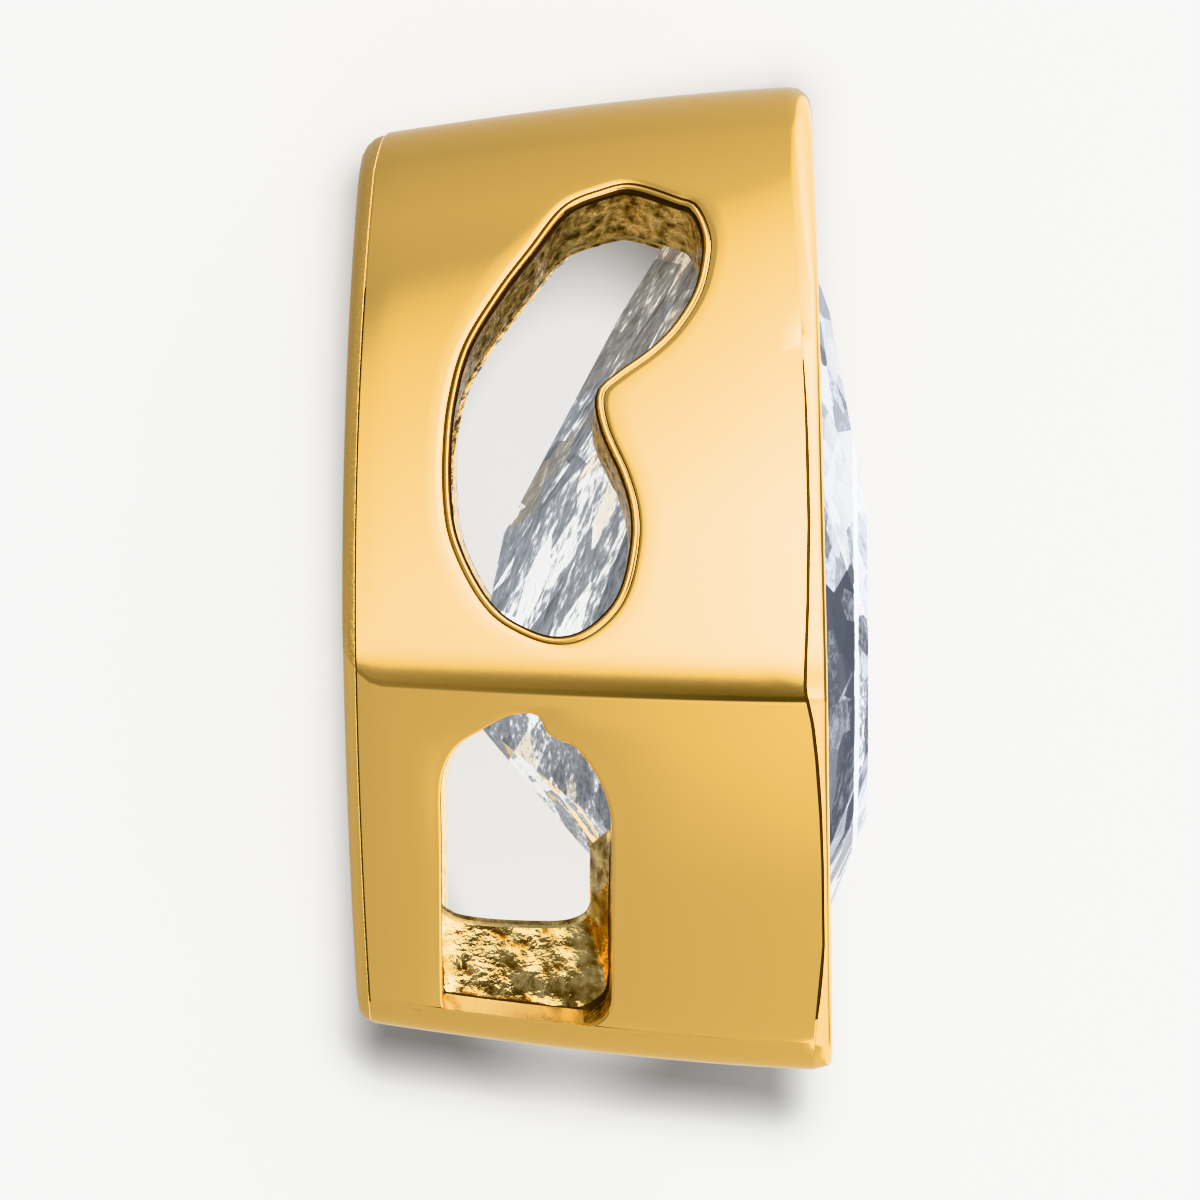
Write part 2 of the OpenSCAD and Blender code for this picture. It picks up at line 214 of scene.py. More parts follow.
def share(f):  # of the way from the front edge to the back
    return max(0.0, sizes["frontReach"] - f) / frameDepth


def shrink(f):  # the outline's scale at depth f
    return 1 - sizes["taper"] * share(f) ** sizes["taperCurve"]


def frontF(u):  # the front and the back edge's depth at height u
    return sizes["frontReach"] - sizes["frontLean"] * u


def backF(u):
    middle, half = (topHeight + footHeight) / 2, (topHeight - footHeight) / 2
    return -sizes["backReach"] + sizes["backBow"] * ((u - middle) / half) ** 2


def wallPoint(f, a, inset=0.0):  # the wall at depth f and length a, or this far in from its surface
    u, w, nu, nw = outlineAt(a)
    reach = sizes["ridgeReach"] if a < ridgeAt else flankEnd - ridgeAt
    hook = max(0.0, share(f) - sizes["hookFrom"]) / (1 - sizes["hookFrom"])
    rise = sizes["ridgeRise"] * share(f) ** 2 + sizes["ridgeHook"] * hook ** 2
    u += rise * max(0.0, 1 - abs(a - ridgeAt) / reach)
    s, level = shrink(f), sizes["taperLevel"]
    if inset < sizes["skin"]:
        width, depth = sizes["backRoll"]
        inset += sizes["polishedOff"] + depth * max(0.0, 1 - (f - backF(u)) / width) ** 2
    p = Vector((f, level + (u - level) * s - inset * nu, w * s - inset * nw))
    if inset > sizes["skin"]:  # the foot's corners are sharp inside
        low = level + (footHeight - level) * s + inset
        side = sizes["footWidth"] / 2 * s - inset * math.tan((math.pi / 2 - flankTurn) / 2)
        if a > flankEnd - sizes["innerCorner"]:
            p.y = max(p.y, low)
            p.z = min(p.z, side + (p.y - low) * math.tan(flankTurn))
    return p


def unroll(f, u):  # length along the outline at depth f and height u
    v = sizes["taperLevel"] + (u - sizes["taperLevel"]) / shrink(f)
    if v > sizes["ridgeLevel"]:
        return topEnd + arcRadius * (joinTurn - math.asin(v / arcRadius))
    return ridgeAt + (sizes["ridgeLevel"] - v) / math.cos(flankTurn)


def frontBevel(a):  # width of the strip along the front edge at length a
    u = sharpOutline(a)[0]
    for (u0, b0), (u1, b1) in zip(sizes["burnished"], sizes["burnished"][1:]):
        if u >= u1:
            return blend((b0, b1), ramp(u, u0, u1))
    return sizes["frontEdge"]


def backBevel(a):
    return sizes["backEdge"] + (sizes["topEdge"] - sizes["backEdge"]) * max(0.0, sharpOutline(a)[2]) ** 3


def frontSide(a):  # where the plain wall ends and the front edge's bevel begins
    return frontF(sharpOutline(a)[0]) - frontBevel(a)


def backSide(a):
    return backF(sharpOutline(a)[0]) + backBevel(a)


def stoneOutline(q, grown):  # the stone's half outline: 0 at the point, 2 at its widest, 4 at the round end
    tip, half = tipHeight + grown, halfWidth + grown
    radius = (tip ** 2 + half ** 2) / (2 * half)
    if q <= 2:
        t = math.asin(tip / radius) * (1 - q / 2)
        return radius * math.sin(t), radius * math.cos(t) - radius + half
    t = (q - 2) * math.pi / 4
    return -half * math.sin(t), half * math.cos(t)


def stoneBeside(a, grown):  # the point of the stone's outline that faces length a
    u, w = sharpOutline(a)[:2]
    middle, halvings = 1.0, 40  # it is seen from this height on the mid-plane
    aim = math.atan2(w, u - middle)
    low, high = 0.0, 4.0
    for _ in range(halvings):
        q = (low + high) / 2
        su, sw = stoneOutline(q, grown)
        low, high = (q, high) if math.atan2(sw, su - middle) < aim else (low, q)
    return stoneOutline((low + high) / 2, grown)


def deselectAll():
    if bpy.context.object and bpy.context.object.mode != "OBJECT":
        bpy.ops.object.mode_set(mode="OBJECT")
    bpy.ops.object.select_all(action="DESELECT")


def mergeCorners(within):
    bpy.ops.object.mode_set(mode="EDIT")
    bpy.ops.mesh.select_all(action="SELECT")
    bpy.ops.mesh.remove_doubles(threshold=within)
    bpy.ops.object.mode_set(mode="OBJECT")


def loft(name, rows, closed=False, finish=((0, polished),)):
    # a grid with a line of corners for each section, moved to its place; finish gives each row's material
    deselectAll()
    rows = [r + r[:1] for r in rows] if closed else rows
    bpy.ops.mesh.primitive_grid_add(x_subdivisions=len(rows[0]) - 1, y_subdivisions=len(rows) - 1, size=1)
    obj = bpy.context.object
    obj.name = name
    points = [p for row in rows for p in row]
    assert len(points) == len(obj.data.vertices), (name, len(points), len(obj.data.vertices))
    for v, p in zip(obj.data.vertices, points):
        v.co = p
    across = len(rows[0]) - 1
    for m in settingFinishes:
        obj.data.materials.append(m)
    for face in obj.data.polygons:
        row, column = divmod(face.index, across)
        face.material_index = [f[1] for f in finish if f[0] <= row and (len(f) < 3 or column in f[2])][-1]
    if closed:
        mergeCorners(1e-5)
    return obj


def joined(name, parts):
    deselectAll()
    for p in parts:
        p.select_set(True)
    bpy.context.view_layer.objects.active = parts[0]
    bpy.ops.object.join()
    obj = bpy.context.object
    obj.name = obj.data.name = name
    return obj


# from the upright pendant in millimetres to where it lies, in metres
layDown = (Matrix.Scale(0.001, 4) @ Matrix.Translation(-Vector(sizes["restOrigin"]))
           @ Matrix.Rotation(math.radians(sizes["restLean"]), 4, "Y")
           @ Matrix.Rotation(math.radians(sizes["restTurn"]), 4, "X"))


def srgb(code):
    values = [int(code[i:i + 2], 16) / 255 for i in (1, 3, 5)]
    return [v / 12.92 if v <= 0.04045 else ((v + 0.055) / 1.055) ** 2.4 for v in values] + [1.0]


def addNode(tree, kind, settings=None, links=None):
    node = tree.nodes.new(kind)
    for key, value in (settings or {}).items():
        if isinstance(key, int) or key in node.inputs:
            node.inputs[key].default_value = value
        else:
            setattr(node, key, value)
    for key, source in (links or {}).items():
        tree.links.new(source.outputs[0] if isinstance(source, bpy.types.Node) else source, node.inputs[key])
    return node


def newMaterial(name):
    material = bpy.data.materials.new(name)
    material.use_nodes = True
    tree = material.node_tree
    return material, tree, tree.nodes["Principled BSDF"]


def goldFinish(name, colour, roughness, uneven, grainMm, grainDepthMm, pits=None):
    material, tree, shader = newMaterial(name)
    shader.inputs["Metallic"].default_value = 1.0
    shader.inputs["Base Color"].default_value = srgb(colour)
    place = addNode(tree, "ShaderNodeTexCoord").outputs["Object"]
    grain = addNode(tree, "ShaderNodeTexNoise", {"Scale": 1000 / grainMm, "Detail": 3.0, "Roughness": 0.6},
                    {"Vector": place})
    spread = addNode(tree, "ShaderNodeMapRange", {"From Min": 0.3, "From Max": 0.7,
                                                  "To Min": roughness * (1 - uneven),
                                                  "To Max": roughness * (1 + uneven)},
                     {"Value": grain.outputs["Fac"]})
    tree.links.new(spread.outputs["Result"], shader.inputs["Roughness"])
    bump = addNode(tree, "ShaderNodeBump", {"Strength": 1.0, "Distance": grainDepthMm / 1000},
                   {"Height": grain.outputs["Fac"]})
    if pits:
        widthMm, depthMm, dark = pits
        noisy = addNode(tree, "ShaderNodeTexNoise",
                        {"Scale": 1000 / widthMm, "Detail": 4.0, "Roughness": 0.55}, {"Vector": place})
        bump = addNode(tree, "ShaderNodeBump", {"Strength": 1.0, "Distance": depthMm / 1000},
                       {"Height": noisy.outputs["Fac"], "Normal": bump.outputs["Normal"]})
        # the colour darkens towards the pits' floors, the bump's low points: painted shade
        pale = addNode(tree, "ShaderNodeMapRange", {"From Min": 0.35, "From Max": 0.6},
                       {"Value": noisy.outputs["Fac"]})
        mix = addNode(tree, "ShaderNodeMix", {"data_type": "RGBA", 6: srgb(dark), 7: srgb(colour)},
                      {"Factor": pale})
        tree.links.new(mix.outputs[2], shader.inputs["Base Color"])
    tree.links.new(bump.outputs["Normal"], shader.inputs["Normal"])
    return material


# pits have their width, their depth and the colour of the painted shade in them
goldFinishes = {
    # 14 carat yellow gold, buffed to a mirror on a wheel: only faint drag marks are left
    "polishedYellowGold": {"colour": "#f6c975", "roughness": 0.09, "uneven": 0.03, "grainMm": 0.05,
                           "grainDepthMm": 0.00003},
    # the same, left from the file and emery on the edges: satin, with a fine broken grain
    "emeriedYellowGold": {"colour": "#f0c574", "roughness": 0.3, "uneven": 0.25, "grainMm": 0.04,
                          "grainDepthMm": 0.005},
    # the same, as it came out of the investment mould: lumpy, with painted shade darkening the pits
    "castYellowGold": {"colour": "#efcb84", "roughness": 0.2, "uneven": 0.25, "grainMm": 0.04,
                       "grainDepthMm": 0.004, "pits": (0.11, 0.06, "#563a12")},
    # the same, painted dark: painted shade in the narrow grooves and creases
    "grooveYellowGold": {"colour": "#3a260a", "roughness": 0.4, "uneven": 0.2, "grainMm": 0.05,
                         "grainDepthMm": 0.001},
    # the same on the ledge: coarse lumps with their tops rubbed bright, and painted shade in the hollows
    # between them
    "rubbedCastYellowGold": {"colour": "#f6d998", "roughness": 0.14, "uneven": 0.2, "grainMm": 0.05,
                             "grainDepthMm": 0.001, "pits": (0.2, 0.02, "#80591c")},
    # the same inside, pickled after casting: pale and matt
    "pickledYellowGold": {"colour": "#f0d497", "roughness": 0.32, "uneven": 0.2, "grainMm": 0.04,
                          "grainDepthMm": 0.003},
}
settingFinishes = [goldFinish(name, **look) for name, look in goldFinishes.items()]


stoneLook = {
    "mirror": 0.42,       # share of the light that the inside's many small reflections send back
    "clear": 0.12,        # share of the rest that goes straight through
    "index": 2.16,        # zirconia's index, with the gloss of its own surface held low
    "gloss": 0.25,
    "roughness": 0.06,
    "chipsMm": (0.6, 0.2),  # the reflections come in chips of two sizes, partly real and partly painted into their colour
    "tilt": (0.6, 0.25),  # and lean by this from their facet
    "shards": 4.0,        # how long the chips are for their width, along the lower facets
    "shardTurn": 65.0,
    "grainMm": 0.05,      # fine grain in the chips, and its share of their tone
    "grainShare": 0.4,
    # the chips' colours, dark grey to white: painted reflections and glints
    "tones": [(0.45, "#4a4f58"), (0.95, "#979ca4"), (1.12, "#f6f8fa")],
    "tableLevel": 1.05,
    # what is added to the tone, from the girdle at 0 to the table at 1: painted shade darkens the crown, with
    # a painted highlight, a line of light, along the table's edge. The two ends come first.
    "paintedCrownShadeAndEdgeLight": [(0.0, 0.5), (1.0, 0.4), (0.1, 0.5), (0.2, 0.0), (0.945, 0.0), (0.96, 1.0), (0.985, 1.0)],
    "inner": 0.43,        # strength of a painted glow, for light that comes in by the table and out by the facets below
}


def zirconia():
    # cubic zirconia, cut and polished: clear, with an index so high that it sends most light back
    # in chips of blue-grey and white, which a few shallow facets can't do: here they are painted reflections,
    # glints and a painted glow
    material, tree, shader = newMaterial("polishedZirconia")
    look = stoneLook
    shader.inputs["Metallic"].default_value = look["mirror"]
    shader.inputs["Roughness"].default_value = look["roughness"]
    shader.inputs["IOR"].default_value = look["index"]
    shader.inputs["Specular IOR Level"].default_value = look["gloss"]
    shader.inputs["Transmission Weight"].default_value = look["clear"]
    wholePlace = addNode(tree, "ShaderNodeTexCoord").outputs["Object"]
    place = addNode(tree, "ShaderNodeMapping", {"vector_type": "TEXTURE", "Scale": (look["shards"], 1, 1),
                                                "Rotation": (0, 0, math.radians(look["shardTurn"]))},
                    {"Vector": wholePlace}).outputs["Vector"]
    grain = addNode(tree, "ShaderNodeTexNoise", {"Scale": 1000 / look["grainMm"], "Detail": 2.0,
                                                 "Roughness": 0.7}, {"Vector": place})
    normal = addNode(tree, "ShaderNodeNewGeometry").outputs["Normal"]
    tones = []
    for size, lean in zip(look["chipsMm"], look["tilt"]):
        chips = addNode(tree, "ShaderNodeTexVoronoi", {"Scale": 1000 / size}, {"Vector": place})
        parts = addNode(tree, "ShaderNodeSeparateColor", None, {"Color": chips.outputs["Color"]})
        tones.append(parts.outputs["Red"])
        middle = addNode(tree, "ShaderNodeVectorMath", {"operation": "SUBTRACT", 1: (0.5, 0.5, 0.5)},
                         {0: chips.outputs["Color"]})
        scaled = addNode(tree, "ShaderNodeVectorMath", {"operation": "SCALE", "Scale": lean}, {0: middle})
        normal = addNode(tree, "ShaderNodeVectorMath", {"operation": "ADD"}, {0: normal, 1: scaled})
    normal = addNode(tree, "ShaderNodeVectorMath", {"operation": "NORMALIZE"}, {0: normal})
    tree.links.new(normal.outputs["Vector"], shader.inputs["Normal"])
    tone = addNode(tree, "ShaderNodeMath", {"operation": "ADD"}, {0: tones[0], 1: tones[1]})
    tone = addNode(tree, "ShaderNodeMath", {"operation": "MULTIPLY_ADD", 1: look["grainShare"]},
                   {0: tone, 2: grain})
    front = layDown.to_3x3().normalized() @ Vector((1, 0, 0))
    depth = addNode(tree, "ShaderNodeVectorMath", {"operation": "DOT_PRODUCT", 1: front}, {0: wholePlace})
    girdle, table = (front.dot(layDown @ Vector((f, 0, 0))) for f in (0, look["tableLevel"]))
    across = addNode(tree, "ShaderNodeMapRange", {"From Min": girdle, "From Max": table},
                     {"Value": depth.outputs["Value"]})
    # painted shade on the crown, and a painted highlight along the table's edge
    edge = addNode(tree, "ShaderNodeValToRGB", None, {"Fac": across})
    for i, (at, grey) in enumerate(look["paintedCrownShadeAndEdgeLight"]):
        stop = edge.color_ramp.elements[i] if i < 2 else edge.color_ramp.elements.new(at)
        stop.position, stop.color = at, (grey, grey, grey, 1)
    tone = addNode(tree, "ShaderNodeMath", {"operation": "ADD"}, {0: tone, 1: edge})
    tone = addNode(tree, "ShaderNodeMath", {"operation": "DIVIDE", 1: 2.0}, {0: tone})
    # the chips' painted reflections and glints
    toned = addNode(tree, "ShaderNodeValToRGB", None, {"Fac": tone})
    stops = toned.color_ramp.elements
    stops.new(0.5)
    plain = look["paintedCrownShadeAndEdgeLight"][0][1]
    for stop, (at, colour) in zip(stops, look["tones"]):
        stop.position, stop.color = (at + plain) / 2, srgb(colour)
    tree.links.new(toned.outputs["Color"], shader.inputs["Base Color"])
    # the same colour glows too: painted light
    tree.links.new(toned.outputs["Color"], shader.inputs["Emission Color"])
    shader.inputs["Emission Strength"].default_value = look["inner"]
    return material


print("materials made")

# The wall is a panel round each window and strips over the top, along the ridge and round the foot,
# all with the same count of faces from back to front
across, commaRows, archRows = 36, 60, 44
ridgeSteps = (-1.5, -1, -0.5, 0, 0.5, 1, 1.5)
commaTop = unroll(*sizes["commaTop"]) - sizes["commaOver"]
ridgeAbove, ridgeBelow = (ridgeAt + ridgeSteps[end] * sizes["ridgeRound"] for end in (0, -1))


def smoothLoop(points, steps=24):  # a closed curve through the points
    out = []
    for i in range(len(points)):
        p0, p1, p2, p3 = (Vector(points[(i + k) % len(points)]) for k in (-1, 0, 1, 2))
        for j in range(steps):
            t = j / steps
            out.append(0.5 * ((2 * p1) + (p2 - p0) * t + (2 * p0 - 5 * p1 + 4 * p2 - p3) * t * t
                              + (3 * p1 - p0 - 3 * p2 + p3) * t ** 3))
    return out


def spaced(chain, count):  # count equal steps along a chain of points, without its last one
    lengths = [0.0]
    for p, q in zip(chain, chain[1:]):
        lengths.append(lengths[-1] + (q - p).length)
    out, i = [], 0
    for k in range(count):
        goal = lengths[-1] * k / count
        while lengths[i + 1] < goal:
            i += 1
        step = max(1e-9, lengths[i + 1] - lengths[i])
        out.append(chain[i].lerp(chain[i + 1], (goal - lengths[i]) / step))
    return out


def windowLoop(points, corners, rows):
    # the outline, unrolled, from its back top corner round by the front, in step with its panel's edge
    loop = [Vector((p.x, unroll(p.x, p.y))) for p in smoothLoop(points)]
    marks = []
    for c in corners:
        c = Vector((c[0], unroll(*c)))
        marks.append(min(range(len(loop)), key=lambda i: (loop[i] - c).length))
    out = []
    for start, stop, count in zip(marks, marks[1:] + marks[:1], (across, rows, across, rows)):
        length = (stop - start) % len(loop)
        out += spaced([loop[(start + k) % len(loop)] for k in range(length + 1)], count)
    return out


def panelEdge(top, bottom, rows, back, front):
    # the edge of a panel, in the same order
    lineA = [top + (bottom - top) * k / rows for k in range(rows)]
    lineB = [bottom + (top - bottom) * k / rows for k in range(rows)]

    def along(a, k):
        return Vector((back(a) + (front(a) - back(a)) * k / across, a))
    return ([along(top, k) for k in range(across)] + [Vector((front(a), a)) for a in lineA]
            + [along(bottom, across - k) for k in range(across)] + [Vector((back(a), a)) for a in lineB])


def offsetLoop(loop, distance):  # outwards from the window
    out = []
    for i, p in enumerate(loop):
        d = loop[(i + 1) % len(loop)] - loop[i - 1]
        out.append(p + Vector((d.y, -d.x)).normalized() * distance)
    return out


def between(loopA, loopB, t):
    return [p.lerp(q, t) for p, q in zip(loopA, loopB)]


def onWall(loop, inset, lean=0.0, rough=0.0):  # a loop this far into the wall, with lumps of two sizes
    out = []
    for p in loop:
        q = wallPoint(p.x + lean * inset, p.y, inset)
        if rough:
            q += noise.noise_vector(q * 5) * rough + noise.noise_vector(q * 14) * rough * 0.5
        out.append(q)
    return out


def innerBack(a):
    return backF(sharpOutline(a)[0]) + sizes["backStart"]


def innerFront(a):
    return -sizes["collar"]


# a quarter turn, for round edges, and shares of the way from a window out to its panel's edge
roundSteps = [(math.sin(t), 1 - math.cos(t)) for t in (math.radians(d) for d in (0, 22, 45, 68, 90))]
panelSteps = (1.0, 0.86, 0.72, 0.58, 0.45, 0.33, 0.22, 0.13, 0.06)


def commaPanel():
    edge = panelEdge(commaTop, ridgeAbove, commaRows, backSide, frontSide)
    inner = panelEdge(commaTop, ridgeAbove, commaRows, innerBack, innerFront)
    hole = windowLoop(sizes["comma"], sizes["commaCorners"], commaRows)
    near = offsetLoop(hole, sizes["commaFlat"])
    rows = [onWall(between(near, edge, t), 0.0) for t in panelSteps]
    finish = [(0, polished)]
    for out, down, m in sizes["commaLip"]:
        rows.append(onWall(offsetLoop(hole, out), down))
        if m != finish[-1][1]:
            finish.append((len(rows) - 1, m))
    throat = offsetLoop(hole, sizes["commaLip"][-1][0])
    rough, askew, smooth = sizes["roughness"], sizes["commaAskew"], sizes["commaSmooth"]
    for inset in (0.13, 0.18, 0.24, 0.3, 0.36, 0.43, 0.5, 0.57, 0.64, 0.7):
        rows.append(onWall(throat, inset, askew, rough * ramp(inset, *smooth)))
    rows.append(onWall(offsetLoop(throat, 0.05), sizes["wall"], askew))
    start = offsetLoop(throat, 0.09)
    start = [p + Vector((askew * sizes["wall"], 0)) for p in start]
    finish.append((len(rows), mould))
    for t in (0.0, 0.1, 0.25, 0.45, 0.7, 1.0):
        rows.append(onWall(between(start, inner, t), sizes["wall"]))
    return loft("commaPanel", rows, True, finish)


def archOpening(loop):
    # inside the step the window narrows, to leave the ledge at its foot and front
    out, top = [], sizes["ledgeTop"]
    foot = min(u for f, u in sizes["arch"])
    back = min(f for f, u in sizes["arch"])
    wide = max(f for f, u in sizes["arch"]) - back
    for p in loop:
        f, u = p.x, wallPoint(p.x, p.y).y
        down = ramp(u, top, sizes["ledgeFull"])
        f -= sizes["ledgeWidth"] * (f - back) / wide * down * down * (3 - 2 * down)
        if u < top:
            u = top + (u - top) * (sizes["ledgeFoot"] - top) / (foot - top)
            u -= sizes["ledgeSlant"] * (f - back) / wide
        out.append(Vector((f, unroll(f, u))))
    return out


def archPanel():
    edge = panelEdge(ridgeBelow, flankEnd, archRows, backSide, frontSide)
    inner = panelEdge(ridgeBelow, flankEnd, archRows, innerBack, innerFront)
    hole = windowLoop(sizes["arch"], sizes["archCorners"], archRows)
    near = offsetLoop(hole, 0.03)
    dip, dipReach = sizes["archDip"], sizes["archDipReach"]
    radius, edgeOut = sizes["archEdge"], sizes["archEdgeOut"]
    rows = [onWall(between(near, edge, t), dip * max(0.0, 1 - t / dipReach) ** 2) for t in panelSteps]
    rows.append(onWall(near, dip))
    for s, c in roundSteps:
        rows.append(onWall(offsetLoop(hole, edgeOut - radius * s), dip + radius * c))
    throat = offsetLoop(hole, -0.012)
    step, askew = sizes["stepDepth"], sizes["archAskew"]
    sides = len(rows)
    for inset in (0.1, 0.2, 0.34, step - 0.03):
        rows.append(onWall(throat, inset, askew))
    ledge = len(rows)
    narrow = offsetLoop(archOpening(throat), 0.05)
    rough = sizes["roughness"] * sizes["ledgeRoughness"]
    for t in (0.08, 0.2, 0.32, 0.44, 0.56, 0.68, 0.8, 0.9):
        rows.append(onWall(between(throat, narrow, t), step + sizes["stepFall"] * t ** 1.3, askew,
                           rough * min(1, t * 4)))
    rows.append(onWall(narrow, step + sizes["stepFall"], askew))
    start = offsetLoop(narrow, 0.05)
    inside = len(rows)
    for t in (0.0, 0.1, 0.25, 0.45, 0.7, 1.0):
        rows.append(onWall(between(start, inner, t), sizes["wall"]))
    front = range(41, 86)  # the columns down the front side and round its lower corner, left as cast
    # the row just above the ledge is painted dark: painted shade
    return loft("archPanel", rows, True, ((0, polished), (sides, mould), (sides, cast, front),
                                          (ledge - 1, groove), (ledge, lumpy), (inside, mould)))


def plainPanels():
    # the wall over the top, along the ridge and round the foot, outside and inside
    parts = []
    for name, lengths in (("top", topLengths), ("ridge", ridgeLengths), ("foot", footLengths)):
        for where, back, front, inset, m in (("Outside", backSide, frontSide, 0.0, polished),
                                             ("Inside", innerBack, innerFront, sizes["wall"], mould)):
            rows = [[wallPoint(back(a) + (front(a) - back(a)) * k / across, a, inset)
                     for k in range(across + 1)] for a in lengths]
            parts.append(loft(name + where, rows, finish=((0, m),)))
    return parts


topLengths = [commaTop * k / 16 for k in range(17)]
commaLengths = [commaTop + (ridgeAbove - commaTop) * k / commaRows for k in range(1, commaRows)]
ridgeLengths = [ridgeAt + sizes["ridgeRound"] * k for k in ridgeSteps]
archLengths = [ridgeBelow + (flankEnd - ridgeBelow) * k / archRows for k in range(1, archRows)]
footLengths = ([flankEnd + (cornerEnd - flankEnd) * k / 10 for k in range(10)]
               + [cornerEnd + (footEnd - cornerEnd) * k / 10 for k in range(11)])
allLengths = topLengths + commaLengths + ridgeLengths + archLengths + footLengths


def frontRim():
    # the burnished bevel, the front face, the lip over the stone, its seat and the collar behind it
    slope = math.tan(math.radians(sizes["stripTilt"]))
    cutMost, cutShare = sizes["grooveWidth"]
    profiles = []
    for a in allLengths:
        width, u = frontBevel(a), sharpOutline(a)[0]
        deep = min(ramp(u, *ends) for ends in sizes["grooveEnds"])
        top = ramp(u, *sizes["stripTop"])
        cut = min(cutMost, cutShare * width) * blend((sizes["grooveNarrow"], 1), deep)
        facet = max(blend(sizes["stripFlat"], top) * width, width - blend(sizes["stripRound"], top))
        tilt = slope * max(sizes["stripTiltLeast"], ramp(u, *sizes["stripTiltEnds"]))
        down = sizes["groove"][-1][1] * deep + (facet - cut) * tilt
        end = max(sizes["stripDepthLeast"], blend(sizes["stripDepth"], top) * width)
        profile = [(x * cut, y * deep) for x, y in sizes["groove"]]
        profile += [(facet + (width - facet) * x, down + (end - down) * y) for x, y in roundSteps]
        profiles.append(profile)
    rows = [[wallPoint(frontSide(a) + s, a, c) for a, (s, c) in zip(allLengths, line)]
            for line in zip(*profiles)]

    def stoneRow(f, grown, lean=True):
        out = []
        for a in allLengths:
            u, w = stoneBeside(a, grown)
            out.append(Vector((f + (frontF(u) - sizes["frontReach"] if lean else 0), u, w)))
        return out
    lip, reach, radius, gap = -sizes["lip"], sizes["frontReach"], sizes["lipRound"], sizes["seatGap"]
    outer, inner = rows[-1], stoneRow(reach, lip + radius)
    for t in (0.15, 0.5, 0.85):
        rows.append([p.lerp(q, t) for p, q in zip(outer, inner)])
    rows.append(inner)
    for s, c in roundSteps[1:]:
        rows.append(stoneRow(reach - radius * c, lip + radius - radius * s))
    polishedRows = len(rows)
    half, top, foot = sizes["seat"]
    for f, grown in ((top, lip), (half, gap), (-half, gap), (foot, lip), (-sizes["collar"], lip)):
        rows.append(stoneRow(f, grown, False))
    under = [wallPoint(innerFront(a), a, sizes["wall"]) for a in allLengths]
    rows.append([p.lerp(q, 0.5) for p, q in zip(rows[-1], under)])
    rows.append(under)
    # the groove beside the strip is painted dark over these heights: painted shade
    line = [i for i, a in enumerate(allLengths) if -3.0 < sharpOutline(a)[0] < 3.6]
    return loft("frontRim", rows, finish=((0, polished), (0, groove, line), (2, polished),
                                          (polishedRows, mould)))


def backRim():
    rows = []
    crease = [(0, 0), (0.05, 0.07), (0.12, 0.09)]
    for s, c in crease + [(0.15 + 0.85 * x, 0.07 + 0.93 * y) for x, y in roundSteps]:
        rows.append([wallPoint(backSide(a) - s * backBevel(a), a, c * backBevel(a)) for a in allLengths])
    for inset in (0.3, 0.45, 0.6, 0.69):
        rows.append([wallPoint(backF(sharpOutline(a)[0]), a, max(inset, backBevel(a) + 0.01))
                     for a in allLengths])
    rows.append([wallPoint(backF(sharpOutline(a)[0]) + 0.015, a, sizes["wall"] - 0.015) for a in allLengths])
    rows.append([wallPoint(innerBack(a), a, sizes["wall"]) for a in allLengths])
    # the crease along the back edge is painted dark over these heights: painted shade
    line = [i for i, a in enumerate(allLengths) if -3.3 < sharpOutline(a)[0] < 4.6]
    return loft("backRim", rows, finish=((0, polished), (0, groove, line), (2, satin)))


setting = joined("castSetting", plainPanels() + [commaPanel(), archPanel(), frontRim(), backRim()])
seam = 2e-4  # corners nearer than this are one
mergeCorners(seam)
mirror = setting.modifiers.new("otherHalf", "MIRROR")
mirror.use_axis = (False, False, True)
mirror.merge_threshold = 1e-3
bpy.ops.object.modifier_apply(modifier=mirror.name)
mergeCorners(seam)
bpy.ops.object.mode_set(mode="EDIT")
bpy.ops.mesh.select_all(action="SELECT")
bpy.ops.mesh.dissolve_degenerate(threshold=1e-5)
bpy.ops.mesh.normals_make_consistent(inside=False)
bpy.ops.object.mode_set(mode="OBJECT")
bpy.ops.object.shade_smooth_by_angle(angle=math.radians(35))  # steeper folds stay crisp
setting.data.transform(layDown)
edges = {}
for face in setting.data.polygons:
    for key in face.edge_keys:
        edges[key] = edges.get(key, 0) + 1
openEdges = sum(1 for n in edges.values() if n != 2)
print("setting made:", len(setting.data.polygons), "faces,", openEdges, "open edges")
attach(setting, "root")
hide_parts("setting")

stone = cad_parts["stone"]
stone.data.materials.clear()
stone.data.materials.append(zirconia())
print("stone polished")

